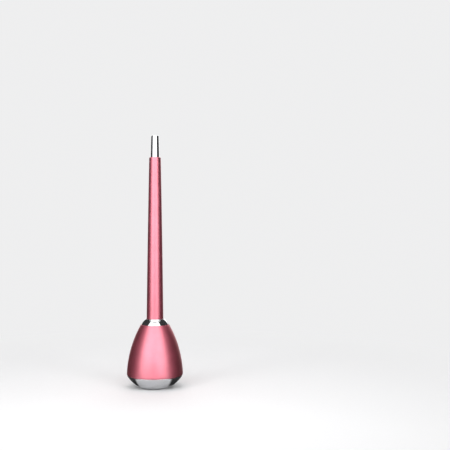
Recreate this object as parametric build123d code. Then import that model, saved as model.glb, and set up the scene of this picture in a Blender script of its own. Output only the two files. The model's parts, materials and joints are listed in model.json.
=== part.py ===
from build123d import *
import os
from math import sqrt

# Desk pen set: a weighted bell-shaped stand and the fountain pen that stands in it.
# Millimetres. The origin is on the floor under the middle of the stand, +Z is up along
# the one axis that stand and pen share, and the pen is seated in the stand.
# The upper face of the nib looks towards -Y.

# Fits, each the radial gap between two pieces
push_fit = 0.03  # pushed, glued or moulded together
thread_fit = 0.05  # screwed together, with the threads drawn as plain cylinders
running_fit = 0.06  # turning or sliding in each other
drop_in_gap = 0.12  # barrel end in the mouth of the stand
passage_gap = 0.20  # grip in the seat ring
recess_gap = 0.20  # nut and foot pad in their recesses

# Ink converter inside the pen
ink_tube_bore_radius = 2.95
ink_tube_wall = 0.6
ink_mouth_length = 4.0
ink_mouth_air = 0.2
piston_rest_air = 0.6
piston_length = 5.0
piston_body_wall = 1.1
seal_lip_height = 1.6
piston_travel = 24.0
piston_end_air = 0.8
piston_rod_radius = 1.2
rod_guide_length = 4.0
rod_engagement = 3.0
spindle_air = 0.3
spindle_wall = 0.9
sleeve_wall = 0.2
sleeve_grip = 6.0
sleeve_run = 16.0
sleeve_cap = 1.2
knob_air = 0.3
knob_bore_air = 0.6
knob_cap = 1.5
knob_setback = 0.35
knob_flutes = 14
knob_flute_radius = 0.35

# Pen section and its joint with the barrel
core_wall = 0.9
core_tenon_wall = 0.62
core_socket_depth = 7.0
core_web = 5.0
core_lead_in = 0.3
thread_pitch = 0.75
thread_turns = 6
pilot_wall = 0.6
pilot_length = 3.5
nipple_wall = 0.7
ink_channel_radius = 0.6
nipple_air = 0.2
seal_ring_thickness = 1.0
seal_groove_height = 1.2
joint_step = 0.82
joint_ring_height = 2.6
joint_ring_edge = 0.12
grip_length = 26.2
grip_top_step = 0.08
grip_front_wall = 0.63
grip_front_edge = 0.25
grip_top_edge = 0.12
grip_band_height = 2.2
grip_groove_depth = 0.1
grip_groove_width = 0.2

# Nib, feed and the housing that holds them
feed_radius = 2.42
nib_thickness = 0.3
nib_length = 18.5
nib_tail = 7.0
nib_straight = 0.6
nib_half_width = 3.33
nib_tail_inset = 0.1
nib_roll = 0.07
nib_shoulder_drop = 8.8
nib_shoulder_rounding = 1.4
nib_neck_half_width = 1.15
nib_neck_drop = 14.8
nib_neck_rounding = 8.0
nib_tip_half_width = 0.42
nib_tip_radius = 0.9
breather_radius = 0.55
breather_drop = 7.2
slit_width = 0.12
housing_wall = 0.4
housing_proud = 0.3
feed_belly_drop = 0.5
feed_nose_start = 9.6
feed_nose_end = 14.6
feed_nose_height = 0.8
fin_count = 8
fin_pitch = 1.0
fin_gap = 0.42
fin_depth = 0.8
fin_start = 1.1

# Barrel and finial
bush_wall = 0.7
bush_length = 8.4
barrel_wall = 1.0
barrel_length = 121.7
barrel_rear_radius = 4.35
barrel_swell = 0.12
barrel_edge = 0.3
barrel_lip_inset = 0.25
barrel_lip_height = 0.9
cavity_air = 0.45
cavity_end_air = 2.0
finial_length = 16.5
finial_base_radius = 3.3
finial_tip_radius = 2.9
finial_rounding = 0.8
finial_spigot_radius = 2.2
finial_spigot_length = 8.0

# Stand
pad_thickness = 1.5
pad_proud = 0.5
pad_overlap = 1.0
pad_edge = 0.3
land_width = 2.0
nut_thickness = 2.4
nut_wall = 2.4
nut_air = 0.3
nut_slots = 4
nut_slot_width = 2.0
nut_slot_depth = 1.2
base_web = 2.0
base_dome_height = 8.4
base_dome_swell = 0.8
base_dome_wall = 2.2
rim_height = 0.5
rim_setback = 0.4
locating_ring_height = 2.0
ballast_gap = 0.4
bell_foot_radius = 21.0
bell_swell = 2.4
bell_wall = 1.6
bell_flange = 2.0
bell_flange_land = 1.95
bell_edge_inset = 0.35
bell_edge_height = 0.9
well_wall = 1.0
well_floor = 1.0
liner_wall = 0.6
liner_floor = 0.6
liner_flange_height = 0.6
nib_room = 2.2
nib_side_room = 0.75
step_room = 1.0
collar_height = 4.4
collar_crown = 0.3
collar_setback = 0.2
collar_lip_wall = 0.85
collar_web = 1.0
collar_spigot_wall = 1.2
collar_spigot_drop = 3.0
pen_seat_depth = 1.0
seat_ring_height = 1.0

# Radii of the pen, worked outwards from the ink converter
ink_tube_radius = ink_tube_bore_radius + ink_tube_wall
sleeve_radius = ink_tube_radius + push_fit + sleeve_wall
core_bore_radius = ink_tube_radius + push_fit
core_thread_radius = core_bore_radius + core_wall
bush_bore_radius = core_thread_radius + thread_fit
bush_radius = bush_bore_radius + bush_wall
barrel_bore_radius = bush_radius + push_fit
barrel_front_radius = barrel_bore_radius + barrel_wall
core_tenon_radius = core_bore_radius + core_tenon_wall
seal_groove_radius = barrel_bore_radius - running_fit - seal_ring_thickness
cavity_radius = sleeve_radius + cavity_air
joint_ring_radius = barrel_front_radius - joint_step
nib_base_radius = feed_radius + push_fit
housing_bore_radius = nib_base_radius + nib_thickness + push_fit
housing_radius = housing_bore_radius + housing_wall
grip_bore_radius = housing_radius + push_fit
grip_front_radius = grip_bore_radius + grip_front_wall
grip_top_radius = joint_ring_radius - grip_top_step
nib_shoulder_radius = nib_half_width + nib_roll - nib_thickness

# Radii of the stand, worked outwards from the pen
counterbore_radius = barrel_front_radius + drop_in_gap
passage_radius = joint_ring_radius + passage_gap
liner_radius = passage_radius + liner_wall
well_bore_radius = liner_radius + push_fit
well_radius = well_bore_radius + well_wall
socket_radius = well_radius + thread_fit
spigot_radius = socket_radius + collar_spigot_wall
bell_hole_radius = spigot_radius + push_fit
bell_top_radius = bell_hole_radius + bell_flange_land
collar_foot_radius = bell_top_radius - collar_setback
collar_lip_radius = counterbore_radius + collar_lip_wall
liner_toe_bore_radius = nib_half_width + nib_side_room
liner_toe_radius = liner_toe_bore_radius + liner_wall
well_toe_bore_radius = liner_toe_radius + push_fit
well_toe_radius = well_toe_bore_radius + well_wall
nut_bore_radius = well_toe_radius + thread_fit
nut_radius = nut_bore_radius + nut_wall
nut_recess_radius = nut_radius + recess_gap
pad_radius = nut_recess_radius + pad_overlap
pad_recess_radius = pad_radius + recess_gap
land_radius = pad_recess_radius + land_width
rim_radius = bell_foot_radius - rim_setback

# Heights of the stand, worked upwards from the floor
nut_low = pad_thickness + nut_air
nut_high = nut_low + nut_thickness
base_floor = nut_high + base_web
rim_low = pad_proud + base_dome_height
bell_low = rim_low + rim_height
liner_low = nut_low + well_floor
nib_tip = liner_low + liner_floor + nib_room
grip_front = nib_tip + nib_length
joint = grip_front + grip_length
counterbore_floor = joint - seat_ring_height
collar_top = joint + pen_seat_depth
bell_top = collar_top - collar_height
socket_top = counterbore_floor - collar_web
well_top = socket_top - liner_flange_height
ballast_top = grip_front - step_room - liner_wall - well_wall

# Circle of the base's rounded side, which swells a little off the straight run from land to rim
base_spread = rim_radius - land_radius
base_half_run = sqrt(base_spread**2 + base_dome_height**2) / 2
base_rounding = (base_half_run**2 + base_dome_swell**2) / (2 * base_dome_swell)
rounding_setback = (base_rounding - base_dome_swell) / (2 * base_half_run)
rounding_centre_radius = (land_radius + rim_radius) / 2 - rounding_setback * base_dome_height
rounding_centre = pad_proud + base_dome_height / 2 + rounding_setback * base_spread

# Heights of the pen, worked upwards from the joint between grip and barrel
ring_low = joint - joint_ring_height
core_floor = joint - core_socket_depth
core_low = core_floor - core_web
mouth_low = core_floor + ink_mouth_air
mouth_high = mouth_low + ink_mouth_length
piston_low = mouth_high + piston_rest_air
piston_high = piston_low + piston_length
guide_low = piston_high + piston_travel + piston_end_air
guide_high = guide_low + rod_guide_length
spindle_low = guide_high + spindle_air
rod_top = spindle_low + rod_engagement
knob_bore_top = rod_top + piston_travel + knob_bore_air
knob_top = knob_bore_top + knob_cap
sleeve_low = guide_high - sleeve_grip
sleeve_top = spindle_low + sleeve_run
bush_low = joint + seal_groove_height
bush_high = bush_low + bush_length
cavity_top = knob_top + cavity_end_air
barrel_top = joint + barrel_length
shoulder = grip_front - nib_shoulder_drop


def lathe(*edges):
    """Turn a closed outline, drawn as radius and height, about the Z axis."""
    return revolve(Plane.XZ * make_face(list(edges)), Axis.Z)


def turned(*points):
    """Turn a closed outline with straight sides about the Z axis."""
    return lathe(Polyline(*points, close=True))


def tube(outer_radius, inner_radius, low, high):
    """A plain ring or tube between two heights."""
    return turned((inner_radius, low), (outer_radius, low), (outer_radius, high), (inner_radius, high))


def rod(radius, low, high):
    """A plain solid cylinder between two heights."""
    return turned((0, low), (radius, low), (radius, high), (0, high))


def swelling(low_point, high_point, swell):
    """An arc between two outline points that bulges outwards by the swell."""
    return SagittaArc(low_point, high_point, -swell)


def bell_plug(inset):
    """The space inside the bell's outer surface, drawn in by the inset."""
    foot = (bell_foot_radius - inset, bell_low)
    crown = (bell_top_radius - inset, bell_top)
    return lathe(swelling(foot, crown, bell_swell), Polyline(crown, (0, bell_top), (0, bell_low), foot))


def base_radius_at(height, inset):
    """Radius of the base's rounded side at a height, drawn in by the inset."""
    return rounding_centre_radius + sqrt((base_rounding - inset) ** 2 - (rounding_centre - height) ** 2)


def base_plug(inset):
    """The space inside the base's rounded side from the base floor to the rim, drawn in by the inset."""
    heights = [base_floor, (base_floor + rim_low) / 2, rim_low]
    side = [(base_radius_at(height, inset), height) for height in heights]
    return lathe(ThreePointArc(*side), Polyline(side[2], (0, rim_low), (0, base_floor), side[0]))


def foot_pad():
    return turned(
        (0, 0),
        (pad_radius - pad_edge, 0),
        (pad_radius, pad_edge),
        (pad_radius, pad_thickness),
        (0, pad_thickness),
    )


def base_nut():
    nut = tube(nut_radius, nut_bore_radius, nut_low, nut_high)
    slot = Pos(nut_radius, 0, nut_low) * Box(2 * nut_slot_depth, nut_slot_width, nut_thickness)
    for slot_place in PolarLocations(0, nut_slots):
        nut -= slot_place * slot
    return nut


def base_dome():
    land = (land_radius, pad_proud)
    rim = (rim_radius, rim_low)
    rounded_side = swelling(land, rim, base_dome_swell)
    ring_high = bell_low + locating_ring_height
    locating_ring = bell_plug(bell_wall + push_fit) & rod(bell_foot_radius, bell_low, ring_high)
    base = lathe(rounded_side, Polyline(rim, (rim_radius, bell_low), (0, bell_low), (0, pad_proud), land))
    base += locating_ring
    base -= base_plug(base_dome_wall)
    base -= rod(base_radius_at(rim_low, base_dome_wall), rim_low, ring_high)
    base -= rod(pad_recess_radius, 0, pad_thickness)
    base -= rod(nut_recess_radius, pad_thickness, nut_high)
    return base - rod(well_toe_radius + push_fit, nut_high, base_floor)


def ballast():
    inset = base_dome_wall + ballast_gap
    radius = base_radius_at(rim_low, inset)
    weight = base_plug(inset) + rod(radius, rim_low, bell_low)
    weight += rod(radius, bell_low, ballast_top) & bell_plug(bell_wall + ballast_gap)
    return weight - rod(well_toe_radius + push_fit, base_floor, ballast_top)


def bell_shell():
    cavity = bell_plug(bell_wall) & rod(bell_foot_radius, bell_low, bell_top - bell_flange)
    edge_outer = bell_foot_radius + bell_edge_inset
    edge_cut = turned(
        (bell_foot_radius - bell_edge_inset, bell_low),
        (edge_outer, bell_low),
        (edge_outer, bell_low + 2 * bell_edge_height),
    )
    return bell_plug(0) - edge_cut - cavity - rod(bell_hole_radius, bell_low, bell_top)


def collar():
    foot = (collar_foot_radius, bell_top)
    lip = (collar_lip_radius, collar_top)
    spigot_low = bell_top - bell_flange - collar_spigot_drop
    inside = Polyline(
        lip,
        (counterbore_radius, collar_top),
        (counterbore_radius, counterbore_floor),
        (passage_radius, counterbore_floor),
        (passage_radius, socket_top),
        (socket_radius, socket_top),
        (socket_radius, spigot_low),
        (spigot_radius, spigot_low),
        (spigot_radius, bell_top),
        foot,
    )
    return lathe(swelling(foot, lip, collar_crown), inside)


def well_tube():
    return turned(
        (0, nut_low),
        (well_toe_radius, nut_low),
        (well_toe_radius, ballast_top),
        (well_radius, ballast_top),
        (well_radius, well_top),
        (well_bore_radius, well_top),
        (well_bore_radius, ballast_top + well_wall),
        (well_toe_bore_radius, ballast_top + well_wall),
        (well_toe_bore_radius, liner_low),
        (0, liner_low),
    )


def well_liner():
    step_low = ballast_top + well_wall
    step_high = step_low + liner_wall
    return turned(
        (0, liner_low),
        (liner_toe_radius, liner_low),
        (liner_toe_radius, step_low),
        (liner_radius, step_low),
        (liner_radius, well_top),
        (well_radius, well_top),
        (well_radius, socket_top),
        (passage_radius, socket_top),
        (passage_radius, step_high),
        (liner_toe_bore_radius, step_high),
        (liner_toe_bore_radius, liner_low + liner_floor),
        (0, liner_low + liner_floor),
    )


def seat_ring():
    return tube(counterbore_radius - running_fit, passage_radius, counterbore_floor, joint)


def joint_ring():
    inner = core_tenon_radius + push_fit
    return turned(
        (inner, ring_low),
        (joint_ring_radius - joint_ring_edge, ring_low),
        (joint_ring_radius, ring_low + joint_ring_edge),
        (joint_ring_radius, joint),
        (inner, joint),
    )


def grip_radius_at(height):
    """Radius of the straight taper from the joint ring down to the nib end."""
    share = (ring_low - height) / (ring_low - grip_front)
    return grip_top_radius + (grip_front_radius - grip_top_radius) * share


def grip():
    groove_high = grip_front + grip_band_height
    groove_middle = groove_high - grip_groove_width / 2
    groove_low = groove_high - grip_groove_width
    tenon_bore_radius = core_tenon_radius + push_fit
    return turned(
        (grip_bore_radius, grip_front),
        (grip_front_radius - grip_front_edge, grip_front),
        (grip_radius_at(grip_front + grip_front_edge), grip_front + grip_front_edge),
        (grip_radius_at(groove_low), groove_low),
        (grip_radius_at(groove_middle) - grip_groove_depth, groove_middle),
        (grip_radius_at(groove_high), groove_high),
        (grip_radius_at(ring_low - grip_top_edge), ring_low - grip_top_edge),
        (grip_top_radius - grip_top_edge, ring_low),
        (tenon_bore_radius, ring_low),
        (tenon_bore_radius, core_low),
        (grip_bore_radius, core_low),
    )


def section_core():
    nipple_radius = ink_channel_radius + nipple_wall
    nipple_top = mouth_high - nipple_air
    thread_low = joint + seal_groove_height
    thread_high = thread_low + thread_pitch * thread_turns
    pilot_radius = core_bore_radius + pilot_wall
    pilot_high = thread_high + pilot_length
    tenon = turned(
        (ink_channel_radius, core_low),
        (core_tenon_radius, core_low),
        (core_tenon_radius, joint),
        (core_bore_radius, joint),
        (core_bore_radius, core_floor),
        (nipple_radius, core_floor),
        (nipple_radius, nipple_top),
        (ink_channel_radius, nipple_top),
    )
    groove_and_thread = turned(
        (core_bore_radius, joint),
        (seal_groove_radius, joint),
        (seal_groove_radius, thread_low),
        (core_thread_radius, thread_low),
        (core_thread_radius, thread_high - core_lead_in),
        (pilot_radius, thread_high),
        (pilot_radius, pilot_high),
        (core_bore_radius, pilot_high),
    )
    return tenon + groove_and_thread


def barrel_seal():
    ring_radius = seal_ring_thickness / 2
    centre = (seal_groove_radius + ring_radius, joint + seal_groove_height / 2)
    return lathe(CenterArc(centre, ring_radius, 0, 360))


def nib_housing():
    return tube(housing_radius, housing_bore_radius, grip_front - housing_proud, core_low)


def nib_hollow(inset, high, end):
    """Outline of the hollow under the nib from its tail to its tip, drawn in by the inset."""
    slope = (nib_shoulder_radius - nib_tip_radius) / (shoulder - nib_tip)
    end_radius = nib_tip_radius + slope * (end - nib_tip)
    return [
        (nib_base_radius - inset, high),
        (nib_base_radius - inset, grip_front - nib_straight),
        (nib_shoulder_radius - inset, shoulder),
        (end_radius - inset, end),
    ]


def nib():
    tail = grip_front + nib_tail
    tail_half_width = nib_base_radius - nib_tail_inset
    inner = nib_hollow(0, tail, nib_tip)
    outer = nib_hollow(-nib_thickness, tail, nib_tip)
    shell = turned(*inner, *reversed(outer))
    right_side = [
        (tail_half_width, tail),
        (tail_half_width, grip_front),
        (nib_half_width, shoulder),
        (nib_neck_half_width, grip_front - nib_neck_drop),
        (nib_tip_half_width, nib_tip),
    ]
    left_side = [(-half_width, height) for half_width, height in reversed(right_side)]
    rounding = [0, 0, nib_shoulder_rounding, nib_neck_rounding, nib_tip_half_width / 2]
    outline = FilletPolyline(*right_side, *left_side, radius=rounding + rounding[::-1], close=True)
    reach = nib_half_width + nib_thickness
    leaf = shell & extrude(Plane.XZ * make_face(outline), reach)
    breather_height = grip_front - breather_drop
    breather = Pos(0, 0, breather_height) * Rot(90, 0, 0) * Cylinder(breather_radius, 2 * reach)
    slit_length = breather_height - nib_tip
    slit = Pos(0, 0, breather_height - slit_length / 2) * Box(slit_width, 2 * reach, slit_length)
    return leaf - breather - slit


def feed():
    nose_end = grip_front - feed_nose_end
    nose_start = grip_front - feed_nose_start
    hollow = nib_hollow(push_fit, core_low, nose_end)
    body = turned((0, core_low), *hollow, (0, nose_end))
    belly = Pos(0, -feed_belly_drop, 0) * rod(nib_shoulder_radius, nose_end, core_low)
    end_top = -(hollow[-1][0] - feed_nose_height)
    side = Polyline(
        (-nib_half_width, core_low),
        (nib_half_width, core_low),
        (nib_half_width, nose_start),
        (end_top, nose_end),
        (-nib_half_width, nose_end),
        close=True,
    )
    body = body & belly & extrude(Plane.YZ * make_face(side), nib_half_width, both=True)
    under_half = Pos(0, nib_half_width, 0) * Box(2 * nib_half_width, 2 * nib_half_width, 2 * nib_length)
    comb_root_radius = nib_shoulder_radius - feed_belly_drop - fin_depth
    for fin in range(fin_count):
        high = grip_front - fin_start - fin * fin_pitch
        comb_gap = tube(nib_half_width, comb_root_radius, high - fin_gap, high)
        body -= comb_gap & Pos(0, 0, high) * under_half
    return body


def converter_tube():
    throat_radius = ink_channel_radius + nipple_wall + push_fit
    return turned(
        (throat_radius, mouth_low),
        (ink_tube_radius, mouth_low),
        (ink_tube_radius, guide_high),
        (ink_tube_bore_radius, guide_high),
        (ink_tube_bore_radius, mouth_high),
        (throat_radius, mouth_high),
    )


def rod_guide():
    return tube(ink_tube_bore_radius - push_fit, piston_rod_radius + running_fit, guide_low, guide_high)


def converter_sleeve():
    spindle_radius = piston_rod_radius + running_fit + spindle_wall
    return turned(
        (ink_tube_radius + push_fit, sleeve_low),
        (sleeve_radius, sleeve_low),
        (sleeve_radius, sleeve_top),
        (spindle_radius + running_fit, sleeve_top),
        (spindle_radius + running_fit, sleeve_top - sleeve_cap),
        (ink_tube_radius + push_fit, sleeve_top - sleeve_cap),
    )


def converter_knob():
    bore_radius = piston_rod_radius + running_fit
    spindle_radius = bore_radius + spindle_wall
    knob_radius = sleeve_radius - knob_setback
    knob_low = sleeve_top + knob_air
    knob = turned(
        (bore_radius, spindle_low),
        (spindle_radius, spindle_low),
        (spindle_radius, knob_low),
        (knob_radius, knob_low),
        (knob_radius, knob_top),
        (0, knob_top),
        (0, knob_bore_top),
        (bore_radius, knob_bore_top),
    )
    flute = rod(knob_flute_radius, knob_low + knob_cap, knob_top)
    for flute_place in PolarLocations(knob_radius, knob_flutes):
        knob -= flute_place * flute
    return knob


def piston_head():
    body_radius = piston_rod_radius + piston_body_wall
    lip_radius = ink_tube_bore_radius - running_fit
    return turned(
        (0, piston_low),
        (lip_radius, piston_low),
        (lip_radius, piston_low + seal_lip_height),
        (body_radius, piston_low + seal_lip_height),
        (body_radius, piston_high - seal_lip_height),
        (lip_radius, piston_high - seal_lip_height),
        (lip_radius, piston_high),
        (piston_rod_radius + push_fit, piston_high),
        (piston_rod_radius + push_fit, piston_low + seal_lip_height),
        (0, piston_low + seal_lip_height),
    )


def piston_rod():
    return rod(piston_rod_radius, piston_low + seal_lip_height, rod_top)


def barrel_bush():
    return tube(bush_radius, bush_bore_radius, bush_low, bush_high)


def barrel():
    front = (barrel_front_radius, joint + barrel_lip_height)
    rear = (barrel_rear_radius, barrel_top - barrel_edge)
    spigot_hole_radius = finial_spigot_radius + push_fit
    spigot_hole_low = barrel_top - finial_spigot_length
    inside = Polyline(
        rear,
        (barrel_rear_radius - barrel_edge, barrel_top),
        (spigot_hole_radius, barrel_top),
        (spigot_hole_radius, spigot_hole_low),
        (0, spigot_hole_low),
        (0, cavity_top),
        (cavity_radius, cavity_top),
        (cavity_radius, bush_high),
        (barrel_bore_radius, bush_high),
        (barrel_bore_radius, joint),
        (barrel_front_radius - barrel_lip_inset, joint),
        front,
    )
    return lathe(swelling(front, rear, barrel_swell), inside)


def finial():
    tip = barrel_top + finial_length
    outline = FilletPolyline(
        (0, barrel_top - finial_spigot_length),
        (finial_spigot_radius, barrel_top - finial_spigot_length),
        (finial_spigot_radius, barrel_top),
        (finial_base_radius, barrel_top),
        (finial_tip_radius, tip),
        (0, tip),
        radius=[0, 0, 0, finial_rounding],
    )
    return lathe(outline, Line((0, tip), (0, barrel_top - finial_spigot_length)))


pieces = [
    foot_pad,
    base_nut,
    base_dome,
    ballast,
    bell_shell,
    collar,
    well_tube,
    well_liner,
    seat_ring,
    joint_ring,
    grip,
    section_core,
    nib_housing,
    nib,
    feed,
    converter_tube,
    rod_guide,
    converter_sleeve,
    converter_knob,
    piston_head,
    piston_rod,
    barrel_seal,
    barrel_bush,
    barrel,
    finial,
]

os.makedirs("parts", exist_ok=True)
for piece in pieces:
    export_step(piece(), f"parts/{piece.__name__}.step")

pen_clear_of_mouth = collar_top - nib_tip
print(f"height {barrel_top + finial_length:.2f}, bell {bell_low:.2f} to {bell_top:.2f}, joint {joint:.2f}")
print(f"barrel front radius {barrel_front_radius:.2f}, grip front radius {grip_front_radius:.2f}")
print(f"the pen is out of the stand after a lift of {pen_clear_of_mouth:.2f}")
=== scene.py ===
import json
from math import cos, pi, radians, sin

import bpy
import numpy as np
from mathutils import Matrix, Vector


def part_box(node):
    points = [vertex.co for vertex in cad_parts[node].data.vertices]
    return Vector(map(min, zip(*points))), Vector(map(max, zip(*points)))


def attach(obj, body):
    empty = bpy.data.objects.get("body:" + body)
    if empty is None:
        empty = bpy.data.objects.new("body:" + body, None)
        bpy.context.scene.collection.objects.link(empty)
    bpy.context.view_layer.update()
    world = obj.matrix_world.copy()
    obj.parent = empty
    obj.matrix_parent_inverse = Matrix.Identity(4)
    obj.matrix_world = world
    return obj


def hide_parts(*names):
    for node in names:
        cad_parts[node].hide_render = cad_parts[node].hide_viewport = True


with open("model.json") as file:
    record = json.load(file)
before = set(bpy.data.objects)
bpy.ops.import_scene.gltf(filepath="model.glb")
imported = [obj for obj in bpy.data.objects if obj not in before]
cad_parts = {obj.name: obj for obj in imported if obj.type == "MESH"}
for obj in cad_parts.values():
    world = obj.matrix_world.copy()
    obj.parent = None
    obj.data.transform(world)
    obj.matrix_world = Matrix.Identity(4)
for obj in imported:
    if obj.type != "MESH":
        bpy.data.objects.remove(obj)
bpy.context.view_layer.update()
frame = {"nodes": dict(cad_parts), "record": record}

# Looks of a desk pen set: a bell-shaped stand and the fountain pen that stands in it.
# Metres, in the frame of the CAD model: +Z is up along the axis that stand and pen share,
# and the nib's upper face looks towards -Y.

mm = 0.001


def span(node):
    """Largest radius, lowest height and highest height of a turned node, from its box."""
    low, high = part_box(node)
    return high.x, low.z, high.z


# Roundings of edges
hair_edge = 0.04 * mm
crisp_edge = 0.08 * mm
fine_edge = 0.14 * mm
soft_edge = 0.25 * mm

# Stand, from its nodes in the frame
bell_low, bell_top = span("bell_shell")[1:]
collar_foot_radius, spigot_low, collar_top = span("collar")
rim_radius, land_height, ring_high = span("base_dome")
pad_radius, pad_low, pad_top = span("foot_pad")
nut_high = span("base_nut")[2]
liner_flange_radius, liner_low, liner_high = span("well_liner")
seat_radius, seat_low, joint = span("seat_ring")

# Stand, sizes that no box gives
bell_foot_radius = 21.0 * mm
bell_crown_radius = 10.5 * mm
bell_swell = 2.4 * mm
bell_wall = 1.6 * mm
bell_flange = 2.0 * mm
bell_hole_radius = 8.55 * mm
bell_edge_inset = 0.35 * mm
bell_edge_height = 0.9 * mm
collar_lip_radius = 7.23 * mm
collar_crown = 0.3 * mm
counterbore_radius = 6.38 * mm
passage_radius = 5.64 * mm
socket_radius = 7.32 * mm
spigot_radius = 8.52 * mm
land_radius = 11.56 * mm
rim_low = 8.9 * mm
base_swell = 0.8 * mm
base_wall = 2.2 * mm
base_floor = 6.2 * mm
toe_hole_radius = 5.74 * mm
nut_recess_radius = 8.36 * mm
pad_recess_radius = 9.56 * mm
pad_edge = 0.3 * mm
pad_groove_pitch = 1.5 * mm
pad_groove_width = 0.5 * mm
pad_groove_depth = 0.2 * mm
pad_grooves = 5
liner_radius = 6.24 * mm
liner_toe_radius = 4.68 * mm
liner_toe_bore_radius = 4.08 * mm
liner_wall = 0.6 * mm
liner_step_low = 22.5 * mm
liner_flange_low = 47.7 * mm
push_fit = 0.03 * mm

# Pen, from its nodes in the frame
ring_radius, ring_low = span("joint_ring")[:2]
grip_front, grip_top = span("grip")[1:]
core_low, core_high = span("section_core")[1:]
seal_reach, seal_low, seal_high = span("barrel_seal")
barrel_front_radius, barrel_low, barrel_top = span("barrel")
finial_radius, finial_low, finial_top = span("finial")
nib_tip, nib_tail = span("nib")[1:]
feed_low, feed_top = span("feed")[1:]
bush_high = span("barrel_bush")[2]

# Pen, sizes that no box gives
grip_front_radius = 3.84 * mm
grip_top_radius = 5.36 * mm
grip_bore_radius = 3.21 * mm
grip_groove_height = 26.2 * mm
grip_groove_width = 0.2 * mm
grip_groove_depth = 0.1 * mm
tenon_radius = 4.2 * mm
tenon_bore = tenon_radius + push_fit
thread_radius = 4.48 * mm
thread_low = 51.5 * mm
thread_pitch = 0.75 * mm
thread_turns = 6
thread_high = thread_low + thread_turns * thread_pitch
groove_mean = 0.62
groove_swing = 0.75
pilot_radius = 4.18 * mm
core_bore_radius = 3.58 * mm
core_floor = 43.3 * mm
nipple_radius = 1.3 * mm
nipple_top = 47.3 * mm
ink_channel_radius = 0.6 * mm
barrel_lip_inset = 0.25 * mm
barrel_lip_height = 0.9 * mm
barrel_rear_radius = 4.35 * mm
barrel_edge = 0.3 * mm
barrel_swell = 0.12 * mm
barrel_bore_radius = 5.26 * mm
cavity_radius = 4.23 * mm
cavity_top = 113.3 * mm
spigot_hole_radius = 2.23 * mm
finial_spigot_radius = 2.2 * mm
finial_tip_radius = 2.9 * mm
finial_rounding = 0.8 * mm

# Nib and feed
nib_thickness = 0.3 * mm
nib_base_radius = 2.45 * mm
nib_straight_low = 23.5 * mm
nib_shoulder_height = 15.3 * mm
nib_shoulder_radius = 3.1 * mm
nib_tip_radius = 0.9 * mm
nib_tail_half_width = 2.35 * mm
nib_half_width = 3.33 * mm
nib_shoulder_rounding = 1.4 * mm
nib_neck_height = 9.3 * mm
nib_neck_half_width = 1.15 * mm
nib_neck_rounding = 8.0 * mm
nib_tip_half_width = 0.42 * mm
nib_tip_rounding = 0.21 * mm
pellet_length = 0.7 * mm
pellet_depth = 0.14 * mm
breather_height = 16.9 * mm
breather_radius = 0.55 * mm
slit_half_width = 0.06 * mm
feed_inset = 0.03 * mm
feed_belly_drop = 0.5 * mm
feed_nose_start = 14.5 * mm
feed_nose_height = 0.8 * mm
fin_count = 8
fin_pitch = 1.0 * mm
fin_gap = 0.42 * mm
fin_depth = 0.8 * mm
fin_start = 1.1 * mm

# Fineness of the surfaces
segments = 192
small_segments = 128
sweep_segments = 96
bell_rows = 90
collar_rows = 24
base_rows = 60
inside_rows = 20
rows_per_turn = 18
seal_points = 40
barrel_rows = 120
nib_rows = 160
nib_columns = 15
breather_rows = 41
nib_tip_rows = 9
nib_rim_power = 8
feed_rows = 120
feed_columns = 49
fin_wall_half = hair_edge / 4
bend_rows = 24
floor_rows = 12
flag_columns = 41
fillet_steps = 8
fillet_room = 0.45
full_bend = 0.6
holding_gap = 0.03 * mm
holding_share = 0.1
tiny_length = 1e-12
tiny_weight = 1e-9
weld_distance = 1e-8

# Camera and studio
frame_pixels = 450
pixel_size = 0.75 * mm
axis_pixel = 155
bell_foot_pixel = 374.3
camera_distance = 0.575
sensor_width = 36.0
floor_radius = 1.3
floor_gap = 0.05 * mm
wall_rounding = 0.6
wall_height = 1.9
paper_shade = (0.80, 0.80, 0.805, 1)
paper_light = (0.84, 0.84, 0.845, 1)
background_light = (0.86, 0.86, 0.865, 1)
fade_start = 0.07
fade_end = 0.32
flag_foot = 0.012
flag_reach = 0.3
flag_height = 0.52
flag_softness = 0.11
flag_foot_fade = 0.003
flag_edges = {"left": (-54, -150), "right": (51, 150)}
flag_shade = (0.03, 0.03, 0.03, 1)
world_light = 0.30
world_gain = 0.56


def circle_radius(half_chord, sagitta):
    """Radius of the circle whose arc stands a sagitta s off a half-chord h: (h^2 + s^2) / 2s."""
    return (half_chord**2 + sagitta**2) / (2 * sagitta)


def bulged(low_point, high_point, swell, count):
    """Points of a circular arc between two outline points, with zero rounding.

    At share t of the half-chord h from its middle, an arc of sagitta s stands
    sqrt(radius^2 - (h t)^2) - (radius - s) off the chord, to its right.
    """
    low_point = np.array(low_point)
    half_chord = (np.array(high_point) - low_point) / 2
    h = np.hypot(*half_chord)
    radius = circle_radius(h, swell)
    share = np.linspace(-1, 1, count)[:, None]
    stand_off = np.sqrt(radius**2 - (h * share) ** 2) - (radius - swell)
    outwards = np.array([half_chord[1], -half_chord[0]]) / h
    points = low_point + half_chord * (1 + share) + outwards * stand_off
    return np.hstack([points, np.zeros((count, 1))])


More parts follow.
